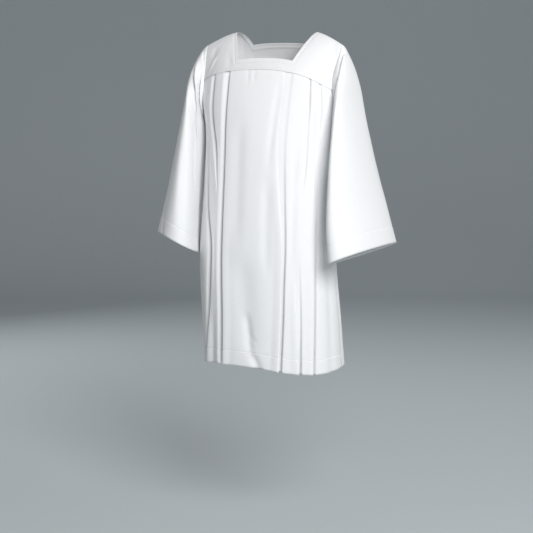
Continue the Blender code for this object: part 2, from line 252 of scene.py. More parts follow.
def cloth_finish(name, colour):
    """White plain weave: over and under yarns, slubs, faint shade and a soft nap."""
    material = bpy.data.materials.new(name)
    material.use_nodes = True
    nodes, links = material.node_tree.nodes, material.node_tree.links
    shader = nodes["Principled BSDF"]
    shader.inputs["Roughness"].default_value = 0.86
    shader.inputs["Sheen Weight"].default_value = 0.18
    shader.inputs["Sheen Roughness"].default_value = 0.45
    shader.inputs["Specular IOR Level"].default_value = 0.30

    flat = nodes.new("ShaderNodeUVMap")
    flat.uv_map = "flat_cloth"
    apart = nodes.new("ShaderNodeSeparateXYZ")
    links.new(flat.outputs["UV"], apart.inputs["Vector"])

    waves = []
    for axis in ("X", "Y"):
        turn = nodes.new("ShaderNodeMath")
        turn.operation = "MULTIPLY"
        turn.inputs[1].default_value = np.pi / YARN
        links.new(apart.outputs[axis], turn.inputs[0])
        wave = nodes.new("ShaderNodeMath")
        wave.operation = "SINE"
        links.new(turn.outputs[0], wave.inputs[0])
        waves.append(wave)
    weave = nodes.new("ShaderNodeMath")
    weave.operation = "MULTIPLY"
    for k, wave in enumerate(waves):
        links.new(wave.outputs[0], weave.inputs[k])

    slub_place = nodes.new("ShaderNodeMapping")
    slub_place.inputs["Scale"].default_value = (60.0, 900.0, 1.0)
    links.new(flat.outputs["UV"], slub_place.inputs["Vector"])
    slub = nodes.new("ShaderNodeTexNoise")
    slub.inputs["Scale"].default_value = 1.0
    slub.inputs["Detail"].default_value = 3.0
    links.new(slub_place.outputs["Vector"], slub.inputs["Vector"])

    crumple = nodes.new("ShaderNodeTexNoise")
    crumple.inputs["Scale"].default_value = 26.0
    crumple.inputs["Detail"].default_value = 4.0
    crumple.inputs["Roughness"].default_value = 0.55
    links.new(flat.outputs["UV"], crumple.inputs["Vector"])

    height = None              # weave, slubs and crumpling, each with its strength and depth
    for source, strength, depth in ((weave.outputs[0], 0.5, 0.00006),
                                    (slub.outputs["Fac"], 0.35, 0.00010),
                                    (crumple.outputs["Fac"], 0.30, 0.0012)):
        bump = nodes.new("ShaderNodeBump")
        bump.inputs["Strength"].default_value = strength
        bump.inputs["Distance"].default_value = depth
        links.new(source, bump.inputs["Height"])
        if height:
            links.new(height.outputs["Normal"], bump.inputs["Normal"])
        height = bump
    links.new(height.outputs["Normal"], shader.inputs["Normal"])

    tint = nodes.new("ShaderNodeValToRGB")
    tint.color_ramp.elements[0].position = 0.30
    tint.color_ramp.elements[0].color = (*(0.965 * c for c in colour), 1.0)
    tint.color_ramp.elements[1].position = 0.70
    tint.color_ramp.elements[1].color = (*colour, 1.0)
    links.new(slub.outputs["Fac"], tint.inputs["Fac"])
    links.new(tint.outputs["Color"], shader.inputs["Base Color"])
    return material


WHITE = (0.87, 0.875, 0.885)
white_weave = cloth_finish("white_weave", WHITE)

NECK_STITCH = 0.0080           # from the neck's edge
STITCH_PULL = 0.0009           # the stitches draw the cloth in by this
STITCH_PULL_WIDTH = 0.0020
SEAM_EDGE_PROUD = 0.0010       # the turned edge at the seam stands out by this
PROUD_FROM = 0.75              # share of the way down where that starts
PROUD_OVER = 0.2
YOKE_COLUMNS = 92              # to one side of the middle
YOKE_ROWS = (44, 12)           # above and near the seam's turned edge
CLOSE_FROM = 0.9               # share of the way down from which the rows are closer
YOKE_EASE = 0.35               # part of a crease's length in which it starts or ends
YOKE_CREASE_COLUMNS = ("x_top", "share_top", "x_low", "share_low", "width", "depth")
YOKE_CREASES = {
    "front": (
        (-0.158, 0.55, -0.190, 0.98, 0.0050, -0.0018),
        (-0.172, 0.30, -0.176, 0.70, 0.0110, 0.0020),
        (0.181, 0.05, 0.195, 0.62, 0.0090, 0.0032),
        (0.196, 0.55, 0.190, 1.05, 0.0050, 0.0016),
        (-0.108, 0.55, -0.104, 1.00, 0.0120, 0.0012),
        (0.150, 0.70, 0.172, 1.00, 0.0060, 0.0010),
    ),
    "back": (
        (0.165, 0.55, 0.192, 0.98, 0.0050, 0.0024),
        (-0.178, 0.10, -0.194, 0.70, 0.0090, 0.0030),
        (-0.100, 0.60, -0.110, 1.00, 0.0110, 0.0012),
        (0.060, 0.50, 0.052, 1.00, 0.0140, 0.0010),
    ),
}


def yoke_cloth(face):
    """Grid of a yoke: columns at even steps of x, its neck corners and shoulder ends among them.

    The turned edge at the seam stands proud, and each crease is a bell across its own line."""
    marks = [NECK[face]["half"], NECK_HALF]
    even = np.linspace(0.0, ARM_HALF - SEAM_GAP / 2, YOKE_COLUMNS)
    half = np.array(sorted(set(even) | set(marks)))
    x = np.concatenate([-half[::-1], half[1:]])[None, :]
    upper, lower = YOKE_ROWS
    share = np.concatenate([np.linspace(0.0, CLOSE_FROM, upper), np.linspace(CLOSE_FROM, 1.0, lower)[1:]])
    share = share[:, None]
    grid = scooped(yoke_point(face, x, share))
    proud = SEAM_EDGE_PROUD * smooth((share - PROUD_FROM) / PROUD_OVER) + 0.0 * x
    neck = NECK[face]
    corner = np.array([neck["half"], neck["reach"]])
    slant = (corner - (NECK_HALF, 0.0)) / np.hypot(*(corner - (NECK_HALF, 0.0)))
    beside = (np.abs(grid[..., 0]) - corner[0]) * slant[1] - (np.abs(grid[..., 1]) - corner[1]) * slant[0]
    from_neck = np.maximum(np.abs(grid[..., 1]) - corner[1], beside)
    proud -= STITCH_PULL * np.exp(-((from_neck - NECK_STITCH) / STITCH_PULL_WIDTH) ** 2)
    for row in YOKE_CREASES[face]:
        at = dict(zip(YOKE_CREASE_COLUMNS, row))
        part = (share - at["share_top"]) / (at["share_low"] - at["share_top"])
        line = at["x_top"] + (at["x_low"] - at["x_top"]) * np.clip(part, 0.0, 1.0)
        along = smooth(part / YOKE_EASE) * smooth((1.0 - part) / YOKE_EASE)
        proud = proud - at["depth"] * along * np.exp(-((x - line) / at["width"]) ** 2)
    out = grid_normals(grid)
    return grid + out * proud[..., None] * (1.0 if face == "front" else -1.0)


SEAM_STITCH_ROWS = 3.6         # rows of the grid from the seam up to its stitches
NECK_POINTS = 60               # along each side of the neck
SEAM_POINTS = 200
STITCH_PITCH = 0.0030
STITCH_AHEAD = 0.001           # a stitch points to the place this much further along its line
STITCH_SIZE = np.array([0.0011, 0.00024, 0.00020])       # half length, half width, half height


def stitches(name, lines):
    """Rows of stitches: small lozenges of thread spaced evenly along each line, lying on the cloth.

    A line is its points and the outward directions there."""
    corners, faces = [], []
    shape = np.array([(-1, 0, 0), (-0.5, -1, 0.6), (-0.5, 1, 0.6),
                      (0.5, -1, 0.6), (0.5, 1, 0.6), (1, 0, 0)])
    sides = np.array([(0, 1, 2, 2), (1, 3, 4, 2), (3, 5, 4, 4)])
    for line, out in lines:
        run = np.cumsum(np.linalg.norm(np.diff(line, axis=0, prepend=line[:1]), axis=1))
        at = np.arange(STITCH_PITCH, run[-1] - STITCH_PITCH / 2, STITCH_PITCH)
        spot = np.stack([np.interp(at, run, line[:, k]) for k in range(3)], axis=1)
        ahead = np.stack([np.interp(at + STITCH_AHEAD, run, line[:, k]) for k in range(3)], axis=1) - spot
        up = np.stack([np.interp(at, run, out[:, k]) for k in range(3)], axis=1)
        ahead /= np.linalg.norm(ahead, axis=1, keepdims=True)
        up /= np.linalg.norm(up, axis=1, keepdims=True)
        across = np.cross(up, ahead)
        spot = spot + up * (CLOTH / 2)
        axes = np.stack([ahead, across, up], axis=1) * STITCH_SIZE[None, :, None]
        corners.append((spot[:, None] + np.einsum("pk,nkc->npc", shape, axes)).reshape(-1, 3))
    corners = np.concatenate(corners)
    count = len(corners) // len(shape)
    for side in sides:
        loop = list(dict.fromkeys(side.tolist()))
        faces += (np.arange(count)[:, None] * len(shape) + np.array(loop)).tolist()
    mesh = bpy.data.meshes.new(name)
    mesh.from_pydata(corners, [], faces)
    mesh.materials.append(thread_white)
    piece = bpy.data.objects.new(name, mesh)
    bpy.context.collection.objects.link(piece)
    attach(piece, "root")


def thread(name, colour):
    """Smooth white sewing thread."""
    material = bpy.data.materials.new(name)
    material.use_nodes = True
    shader = material.node_tree.nodes["Principled BSDF"]
    shader.inputs["Base Color"].default_value = (*colour, 1.0)
    shader.inputs["Roughness"].default_value = 0.55
    return material


thread_white = thread("thread_white", (0.80, 0.80, 0.81))


def on_grid(grid, row, column, flip):
    """Points and outward directions of a grid at fractional rows and columns."""
    normal = grid_normals(grid) * flip
    i0, j0 = np.floor(row).astype(int), np.floor(column).astype(int)
    i0, j0 = np.minimum(i0, grid.shape[0] - 2), np.minimum(j0, grid.shape[1] - 2)
    di, dj = (row - i0)[:, None], (column - j0)[:, None]
    both = []
    for values in (grid, normal):
        both.append((values[i0, j0] * (1 - dj) + values[i0, j0 + 1] * dj) * (1 - di)
                    + (values[i0 + 1, j0] * (1 - dj) + values[i0 + 1, j0 + 1] * dj) * di)
    return both


def yoke_stitches(face, grid):
    """Stitch lines of a yoke: one set in from the neck, one above the seam."""
    flip = 1.0 if face == "front" else -1.0
    neck = NECK[face]
    corner = np.array([neck["half"], neck["reach"]])
    slant = np.array([NECK_HALF, 0.0]) - corner
    aside = np.array([-slant[1], slant[0]]) / np.hypot(*slant)
    outer = corner + aside * NECK_STITCH
    reach = corner[1] + NECK_STITCH
    turn_x = outer[0] + slant[0] * (reach - outer[1]) / slant[1]
    end_x = outer[0] - slant[0] * outer[1] / slant[1]
    t = np.linspace(0.0, 1.0, NECK_POINTS)
    half_x = np.concatenate([turn_x * t, turn_x + (end_x - turn_x) * t[1:]])
    half_away = np.concatenate([reach + 0.0 * t, reach * (1 - t[1:])])
    x = np.concatenate([-half_x[::-1], half_x[1:]])
    away = np.concatenate([half_away[::-1], half_away[1:]])
    column = np.interp(x, grid[0, :, 0], np.arange(grid.shape[1]))
    depth = np.abs(grid[..., 1])
    row = [np.interp(a, depth[:, int(round(c))], np.arange(grid.shape[0])) for a, c in zip(away, column)]
    lines = [on_grid(grid, np.array(row), column, flip)]
    column = np.linspace(0.5, grid.shape[1] - 1.5, SEAM_POINTS)
    lines.append(on_grid(grid, 0.0 * column + grid.shape[0] - 1 - SEAM_STITCH_ROWS, column, flip))
    return lines


yoke_grid = yoke_cloth("front")
yoke_front = cloth_piece("yoke_front_cloth", yoke_grid)
stitches("yoke_front_stitches", yoke_stitches("front", yoke_grid))
yoke_front.data.materials.append(white_weave)
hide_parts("yoke_front")
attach(yoke_front, "root")

# ---------------------------------------------------------------------------------------------------
# Back yoke.  The same band for the back, with a shallower square neck, joined to the front one along
# the shoulder line.

yoke_grid = yoke_cloth("back")
yoke_back = cloth_piece("yoke_back_cloth", yoke_grid, turned=True)
stitches("yoke_back_stitches", yoke_stitches("back", yoke_grid))
yoke_back.data.materials.append(white_weave)
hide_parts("yoke_back")
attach(yoke_back, "root")

# ---------------------------------------------------------------------------------------------------
# Front panel.  One width of the same cloth, folded into three knife pleats on each side of a plain
# middle, pressed, and gathered into the yoke seam.  The pleats fall open a little towards the hem.

UNDERARM_Z = -0.27
HEM_Z = -0.963
HEM_BAND = 0.042               # from the hem's edge up to its stitches
HEM_PROUD = 0.0005             # the turned hem stands out by this
PROUD_EASE = 0.001
STITCH_DIP = 0.0007            # the stitches of hems sink by this
STITCH_DIP_WIDTH = {"panel": 0.0009, "sleeve": 0.0011}
TUCK = 0.004                   # the pleats run up behind the yoke by this
TUCK_DEPTH = 0.0012            # and lie this far behind it
TUCK_ABOVE = 0.001             # this far above the seam they start to come forward
TUCK_OVER = 0.010
HEM_LIFT = np.array([
    # degrees round the hem from the centre front, extra height
    (-180, 0.002),
    (-90, -0.006),
    (-50, 0.012),
    (0, 0.014),
    (35, 0.000),
    (60, -0.004),
    (90, 0.002),
    (180, 0.002),
])
PLEAT_Z = np.array([-0.96, -0.76, -0.60, -0.46, -0.34, -0.22, -0.11])     # heights for the pleats
PLEATS = {
    # folded edge at each height, from the middle; width under it; how far it has opened out flat
    ("front", "right"): (
        ((0.104, 0.095, 0.092, 0.092, 0.093, 0.097, 0.096), 0.034, (0, 0, 0, 0, 0, 0, 0)),
        ((0.132, 0.123, 0.120, 0.120, 0.125, 0.151, 0.153), 0.034, (1, 1, 1, 1, 0.10, 0, 0)),
        ((0.182, 0.147, 0.135, 0.165, 0.190, 0.197, 0.193), 0.022, (0, 0, 0, 0.3, 0.8, 1, 1)),
    ),
    ("front", "left"): (
        ((0.072, 0.086, 0.094, 0.091, 0.089, 0.092, 0.098), 0.034, (0, 0, 0.1, 0.4, 0.65, 0.75, 0.6)),
        ((0.129, 0.139, 0.144, 0.146, 0.147, 0.145, 0.143), 0.030, (0, 0.55, 0.97, 0.9, 0, 0, 0)),
        ((0.170, 0.179, 0.185, 0.184, 0.181, 0.183, 0.178), 0.022, (0, 0, 0.1, 0.2, 0.6, 0.4, 0.1)),
    ),
    ("back", "right"): (
        ((0.106, 0.103, 0.100, 0.097, 0.096, 0.098, 0.100), 0.034, (0, 0, 0, 0, 0, 0, 0)),
        ((0.158, 0.154, 0.150, 0.146, 0.146, 0.150, 0.153), 0.032, (0.2, 0.6, 0.3, 0, 0, 0, 0)),
        ((0.202, 0.198, 0.194, 0.190, 0.190, 0.192, 0.193), 0.022, (0, 0.2, 0.7, 0.8, 0.4, 0, 0)),
    ),
    ("back", "left"): (
        ((0.097, 0.096, 0.098, 0.101, 0.103, 0.102, 0.100), 0.034, (0, 0, 0, 0, 0, 0, 0)),
        ((0.149, 0.148, 0.150, 0.155, 0.158, 0.156, 0.153), 0.032, (0, 0.5, 0.95, 0.8, 0.2, 0, 0)),
        ((0.195, 0.192, 0.190, 0.192, 0.195, 0.196, 0.193), 0.022, (0, 0.1, 0.2, 0, 0, 0, 0)),
    ),
}
PLEAT_STEPS = (28, 14, 11)     # points across the top of each pleat
LAYER_SEAM = 0.0024            # from one layer of a pleat to the next, at the yoke
LAYER_HEM = 0.0050
EDGE_LIFT = 0.0050             # the folded edges stand out by this at the hem
LIFT_WIDTH = 0.028             # over this width of the pleat's top
LEAST_TOP = 0.002              # of a pleat's top that is only one layer
LEAST_UNDER = 2.5              # of a pleat's width under its fold, in radii of the fold
GROOVE_EASE = 0.05             # part of the way down in which the low strip's extra depth comes
LEAST_SIDE = 0.004             # left between the last pleat and the panel's edge
BESIDE_FOLD = {
    # beside a folded edge: width of the low strip, where the cloth has risen again, extra depth
    "right": {"clear": 0.0045, "rise": 0.0240, "groove": 0.0034},
    "left": {"clear": 0.0025, "rise": 0.0110, "groove": 0.0010},
}
EASE = 0.3                     # part of a trough's or soft fold's length in which it starts or ends
PAST_HEM = 0.02                # a trough that ends further below the hem than this runs out through it
TROUGH_COLUMNS = ("s_top", "s_low", "z_top", "z_low", "width", "depth")
TROUGHS = {
    "front": (
        (-0.050, -0.047, -0.200, -0.640, 0.018, 0.0030),
        (0.062, 0.040, -0.100, -0.400, 0.010, 0.0020),
        (0.040, 0.046, -0.380, -0.700, 0.014, 0.0030),
        (-0.039, -0.037, -0.095, -0.150, 0.004, 0.0012),
        (-0.018, -0.020, -0.095, -0.145, 0.004, 0.0010),
        (-0.024, -0.012, -0.780, -0.930, 0.012, 0.0050),
        (-0.030, -0.020, -0.600, -0.960, 0.034, 0.0060),
        (-0.024, 0.018, -0.850, -0.884, 0.004, 0.0016),
        (-0.010, 0.028, -0.900, -1.000, 0.014, 0.0060),
        (0.118, 0.120, -0.250, -0.800, 0.010, 0.0025),
        (0.160, 0.166, -0.190, -0.420, 0.007, 0.0050),
        (0.214, 0.222, -0.165, -0.440, 0.022, -0.0090),
        (-0.140, -0.150, -0.500, -0.990, 0.014, 0.0040),
        (0.235, 0.240, -0.450, -0.990, 0.014, 0.0040),
    ),
    "back": (
        (-0.044, -0.052, -0.180, -0.760, 0.013, 0.0040),
        (0.030, 0.040, -0.240, -0.900, 0.014, 0.0045),
        (0.055, 0.060, -0.130, -0.420, 0.010, 0.0030),
        (-0.010, -0.018, -0.620, -1.000, 0.015, 0.0055),
        (-0.124, -0.128, -0.300, -0.940, 0.011, 0.0030),
        (0.232, 0.240, -0.400, -0.990, 0.014, 0.0045),
        (-0.230, -0.240, -0.480, -0.990, 0.014, 0.0040),
        (0.012, 0.012, -0.115, -0.160, 0.004, 0.0012),
    ),
}


def troughs(face, s, z):
    """Sum of soft troughs, each a bell across its line and eased in and out along it."""
    depth = np.zeros(np.broadcast(s, z).shape)
    for row in TROUGHS[face]:
        at = dict(zip(TROUGH_COLUMNS, row))
        part = (at["z_top"] - z) / (at["z_top"] - at["z_low"])
        line = at["s_top"] + (at["s_low"] - at["s_top"]) * np.clip(part, 0.0, 1.0)
        along = smooth(part / EASE)
        if at["z_low"] >= HEM_Z - PAST_HEM:
            along = along * smooth((1.0 - part) / EASE)
        depth += at["depth"] * along * np.exp(-((s - line) / at["width"]) ** 2)
    return -depth


def hem_z(face, s):
    """Height of the hem at a distance round the body."""
    turn = 90.0 * s / quarter(face, HEM_Z)
    if face == "back":
        turn = np.where(s < 0, -180.0, 180.0) - turn
    return HEM_Z + through(HEM_LIFT, turn)[..., 0]


def edge_s(face, side, z):
    """Distance from the middle to the panel's edge: the armhole, a quarter ellipse, then the side."""
    form = OUTLINE[face]
    share = np.linspace(0.0, 1.0, QUARTER_STEPS)
    arm = np.interp(z, form["z"], [np.interp(ARM_HALF, line, share) for line in form["lines"][0]])
    top = SEAM[face]["z"] - SEAM[face][side]
    dropped = np.clip((top - z) / (top - UNDERARM_Z), 0.0, 1.0)
    turn_in = np.where(z <= UNDERARM_Z, 1.0, 1.0 - np.sqrt(1.0 - dropped ** 2))
    return quarter(face, z) * (arm + (1.0 - arm) * turn_in) - SEAM_GAP / 2


def half_profile(face, side, down, edge_at, z):
    """Cross-sections from the middle out to the edge, one row for each height: distance and level.

    Each pleat is a top stretch, a half turn at its fold, the way back under it, a half turn the other
    way, the lowest layer, and a rise to the surface.  Where a pleat opens out, its line is mixed with
    the same number of points spread evenly over the flat surface."""
    down = down[:, None]
    z = z[:, None]
    layer = LAYER_SEAM + (LAYER_HEM - LAYER_SEAM) * down ** 1.5
    bend = layer / 2
    lift = EDGE_LIFT * down
    beside = BESIDE_FOLD[side]
    clear = beside["clear"]
    groove = beside["groove"] * smooth(down / GROOVE_EASE)
    start = 0.0 * down
    s, level = [], []
    for index, (edges, under, opened) in enumerate(PLEATS[face, side]):
        rows = np.stack([PLEAT_Z, edges, opened], axis=1)
        edge, flat = np.moveaxis(through(rows, z), -1, 0)
        flat = np.clip(flat, 0.0, 1.0)
        rise = beside["rise"] + (clear / 2 - beside["rise"]) * flat
        under = np.maximum(np.minimum(under, edge - start - LEAST_TOP), LEAST_UNDER * bend)
        first = 1 if index else 0
        t = np.linspace(0.0, 1.0, PLEAT_STEPS[index])[None, first:]
        top = start + (edge - bend - start) * t
        line = [top]
        foot = np.maximum(edge - LIFT_WIDTH, start)
        height = [lift * smooth((top - foot) / np.maximum(edge - bend - foot, 0.001))]
        t = np.radians(np.linspace(90.0, -90.0, 9)[None, 1:])
        line.append(edge - bend + bend * np.cos(t))
        height.append(lift - bend + bend * np.sin(t))
        t = np.linspace(0.0, 1.0, 5)[None, 1:]
        line.append(edge - bend + (2 * bend - under) * t)
        height.append(lift * (1 - smooth(t)) - layer)
        t = np.radians(np.linspace(90.0, 270.0, 6)[None, 1:])
        line.append(edge - under + bend + bend * np.cos(t))
        height.append(-1.5 * layer + bend * np.sin(t))
        t = np.linspace(0.0, 1.0, 5)[None, 1:]
        line.append(edge - under + bend + (under - bend + clear) * t)
        height.append(-2 * layer - groove * smooth(t))
        t = np.linspace(0.0, 1.0, 9)[None, 1:]
        line.append(edge + clear + (rise - clear) * t)
        height.append(-(2 * layer + groove) * (1 - smooth(t)))
        line, height = np.concatenate(line, axis=1), np.concatenate(height, axis=1)
        t = np.linspace(0.0, 1.0, line.shape[1] + first)[None, first:]
        s.append(line + (start + (edge + rise - start) * t - line) * flat)
        level.append(height * (1.0 - flat))
        start = edge + rise
    t = np.linspace(0.0, 1.0, 13)[None, 1:]
    start = np.minimum(start, edge_at[:, None] - LEAST_SIDE)
    s[-1] = np.minimum(s[-1], start)
    s.append(start + (edge_at[:, None] - start) * t)
    level.append(0.0 * down + 0.0 * t)
    return np.concatenate(s, axis=1), np.concatenate(level, axis=1)


CHEST_ROWS = 29
SKIRT_ROWS = 116
STITCHED_ROWS = (0.9360, 0.9375, 0.9385, 0.9394, 0.9403, 0.9413, 0.9430)   # parts of the skirt's height
PLAIN_ROWS = (0.932, 0.950)    # where the plain rows end above the stitches and start again below
LOW_ROWS = 8
CHEST_OPENING = 4              # the layers reach their full depth a fourth of the way down the chest
HEM_ROW = CHEST_ROWS + SKIRT_ROWS + len(STITCHED_ROWS) // 2


def panel_cloth(face):
    """Grid of a pleated panel, row by row from the yoke seam to the hem."""
    chest = np.linspace(0.0, 1.0, CHEST_ROWS + 1)[:-1]
    skirt = np.concatenate([np.linspace(0.0, PLAIN_ROWS[0], SKIRT_ROWS), STITCHED_ROWS,
                            np.linspace(PLAIN_ROWS[1], 1.0, LOW_ROWS)])
    zone = np.concatenate([np.zeros(len(chest)), np.ones(len(skirt))])[:, None]
    part = np.concatenate([chest, skirt])[:, None]

    def height(s):
        """Height of every row: shares of the chest, then of the skirt."""
        top = seam_z(face, s) + TUCK
        upper = top + (UNDERARM_Z - top) * part
        lower = UNDERARM_Z + (hem_z(face, s) - UNDERARM_Z) * part
        return np.where(zone == 0, upper, lower)

    halves = {}
    for side, sign in (("right", -1.0), ("left", 1.0)):
        edge_z = height(np.array([[sign * seam_breaks(face, side)[-1]]]))[:, 0]
        down = np.clip((SEAM[face]["z"] - edge_z) / (SEAM[face]["z"] - HEM_Z), 0.0, 1.0)
        down = down * smooth(part[:, 0] * CHEST_OPENING + zone[:, 0])
        s, level = half_profile(face, side, down, edge_s(face, side, edge_z), edge_z)
        halves[side] = (sign * s, level)
    s = np.concatenate([halves["right"][0][:, ::-1], halves["left"][0][:, 1:]], axis=1)
    level = np.concatenate([halves["right"][1][:, ::-1], halves["left"][1][:, 1:]], axis=1)
    z = height(s)
    tucked = TUCK_DEPTH * (1.0 - smooth((seam_z(face, s) + TUCK_ABOVE - z) / TUCK_OVER))
    from_stitch = HEM_BAND - (z - hem_z(face, s))
    hem = HEM_PROUD * smooth(from_stitch / PROUD_EASE)
    hem = hem - STITCH_DIP * np.exp(-(from_stitch / STITCH_DIP_WIDTH["panel"]) ** 2)
    return scooped(on_body(face, s, level + troughs(face, s, z) + hem - tucked, z))


def hem_stitches(name, grid, row, flip):
    """One line of stitches along a row of a grid."""
    column = np.linspace(0.0, grid.shape[1] - 1.0, 3 * grid.shape[1])
    stitches(name, [on_grid(grid, 0.0 * column + row, column, flip)])


panel_grid = panel_cloth("front")
front_panel = cloth_piece("front_panel_cloth", panel_grid)
hem_stitches("front_panel_stitches", panel_grid, HEM_ROW, 1.0)
front_panel.data.materials.append(white_weave)
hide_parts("front_panel")
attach(front_panel, "root")

# ---------------------------------------------------------------------------------------------------
# Back panel.  The same width of cloth with matching pleats, sewn to the back yoke and joined to the
# front panel down both sides.

panel_grid = panel_cloth("back")
back_panel = cloth_piece("back_panel_cloth", panel_grid, turned=True)
hem_stitches("back_panel_stitches", panel_grid, HEM_ROW, -1.0)
back_panel.data.materials.append(white_weave)
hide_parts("back_panel")
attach(back_panel, "root")

# ---------------------------------------------------------------------------------------------------
# Sleeves.  Each is one straight width of cloth closed into a wide bell, sewn into the armhole with
# little ease, so that it breaks into a deep fold in front of the shoulder, with a turned hem.

SECTION = np.array([
    # along, outer_x, outer_z, inner_x, inner_z, middle_y, half_depth, turn
    (0.00, 0.204, -0.036, 0.198, -0.270, -0.022, 0.066, 0),
    (0.06, 0.228, -0.055, 0.203, -0.278, -0.026, 0.074, 2),
    (0.13, 0.237, -0.092, 0.209, -0.300, -0.032, 0.083, 4),
    (0.24, 0.246, -0.152, 0.213, -0.345, -0.041, 0.096, 7),
    (0.38, 0.259, -0.232, 0.217, -0.405, -0.051, 0.109, 10),
    (0.56, 0.280, -0.345, 0.222, -0.480, -0.062, 0.122, 13),
    (0.77, 0.307, -0.470, 0.229, -0.565, -0.071, 0.134, 16),
    (1.00, 0.343, -0.602, 0.234, -0.648, -0.075, 0.140, 17),
])
SLEEVE_ROUNDNESS = 2.1
SLEEVE_BLEND = 0.24            # place along by which the armhole's shape has given way
SLEEVE_LENGTH = 0.475          # of its middle; the outer line is longer and the inner one shorter
LENGTH_SWING = 0.100           # by this each
PUFF_ALONG = 0.12              # the shoulder puffs out most here
PUFF_WIDTH = 0.09
HANG = {
    "left": {"raised": 0.006, "front_lift": -0.06, "fuller": 0.000, "closer": 0.000, "drop": 0.000,
             "puffed": 0.002},
    "right": {"raised": 0.020, "front_lift": 0.14, "fuller": 0.006, "closer": 0.019, "drop": 0.012,
              "puffed": 0.010},
}


def armhole(side, count):
    """Armhole from the shoulder down the front, under the arm and up the back, and its turn in degrees."""
    sign = 1.0 if side == "left" else -1.0
    rims = []
    for face in ("front", "back"):
        yoke = yoke_point(face, np.array(sign * (ARM_HALF - 1e-6)), np.linspace(0.0, 1.0, 60))
        top = SEAM[face]["z"] - SEAM[face][side]
        z = top + (UNDERARM_Z - top) * np.sin(np.linspace(0.0, np.pi / 2, 80))[1:]
        panel = on_body(face, sign * (edge_s(face, side, z) + SEAM_GAP / 2), 0.0, z)
        rims.append(np.concatenate([yoke, panel]))
    turn, spots = [], []
    for k, rim in enumerate((rims[0], rims[1][::-1])):
        run = np.cumsum(np.linalg.norm(np.diff(rim, axis=0, prepend=rim[:1]), axis=1))
        share = np.linspace(0.0, 1.0, count // 2 + 1)[:-1]
        spots.append(np.stack([np.interp(share * run[-1], run, rim[:, a]) for a in range(3)], axis=1))
        turn.append(np.pi * (k + share))
    return scooped(np.concatenate(spots)), np.concatenate(turn)


CUFF_BAND = 0.047              # from the cuff's edge up to its stitches
CUFF_STEPS = np.array([-3.0, -1.6, -0.8, 0.0, 0.8, 1.6, 3.0]) * 0.001      # rows about the stitches
CUFF_CLEAR = 0.004             # rows above and below keep this far from the stitches
UPPER_ROWS = (66, 49)          # over the creased part, then below it
CREASED_PART = 0.36
BELOW_ROWS = 8
ARMHOLE_POINTS = 320
CUFF_ROW = sum(UPPER_ROWS) + len(CUFF_STEPS) // 2
CREASE_EASE = 25.0             # degrees in which a crease starts or ends
LIP_REACH = 5.0                # of the lip and of what is drawn over, in widths of the crease
OVER_REACH = 4.0
CREASE_COLUMNS = ("trough", "lip", "over", "width", "reach")
CREASES = {
    # depths, widths along and the trough's reach in widths, then the line as (turn in degrees, along)
    "left": (
        ((0.010, 0.006, 0.022, 0.011, 4.0),
         ((0, 0.11), (20, 0.125), (50, 0.16), (86, 0.17), (150, 0.27))),
        ((0.008, 0.004, 0.016, 0.012, 4.0),
         ((205, 0.28), (250, 0.18), (285, 0.15), (320, 0.14), (350, 0.10))),
    ),
    "right": (
        ((-0.006, -0.006, 0.010, 0.011, 3.0),
         ((20, 0.13), (60, 0.140), (85, 0.14), (110, 0.145), (150, 0.25))),
        ((0.006, 0.002, 0.006, 0.008, 2.0),
         ((5, 0.09), (30, 0.085), (50, 0.06), (75, 0.03))),
        ((0.034, 0.004, 0.010, 0.008, 2.4),
         ((58, 0.10), (85, 0.122), (104, 0.130), (140, 0.130), (172, 0.12))),
        ((0.008, 0.005, 0.018, 0.011, 4.0),
         ((210, 0.24), (255, 0.16), (290, 0.14), (325, 0.13), (352, 0.10))),
    ),
}
FOLD_RADIUS = (0.075, 0.045)   # of the sleeve at the armhole, and how much wider at the cuff
START_EASE = 0.03              # creases and folds start within this place along
SOFT_COLUMNS = ("turn_top", "turn_low", "top", "low", "width", "depth")
SOFT_FOLDS = {
    "left": (
        (112, 128, 0.24, 0.95, 0.011, 0.0045),
        (70, 52, 0.22, 0.75, 0.030, 0.0025),
        (168, 176, 0.12, 0.80, 0.014, 0.0060),
        (214, 224, 0.22, 1.10, 0.018, 0.0060),
        (262, 256, 0.28, 1.10, 0.024, 0.0060),
        (306, 314, 0.20, 0.80, 0.022, 0.0040),
    ),
    "right": (
        (118, 142, 0.18, 0.60, 0.010, 0.0050),
        (34, 66, 0.78, 1.10, 0.010, 0.0030),
        (88, 104, 0.34, 0.95, 0.026, 0.0030),
        (172, 178, 0.12, 0.80, 0.014, 0.0060),
        (218, 226, 0.24, 1.10, 0.020, 0.0060),
        (270, 262, 0.22, 0.95, 0.024, 0.0055),
        (318, 322, 0.30, 1.10, 0.020, 0.0040),
    ),
}


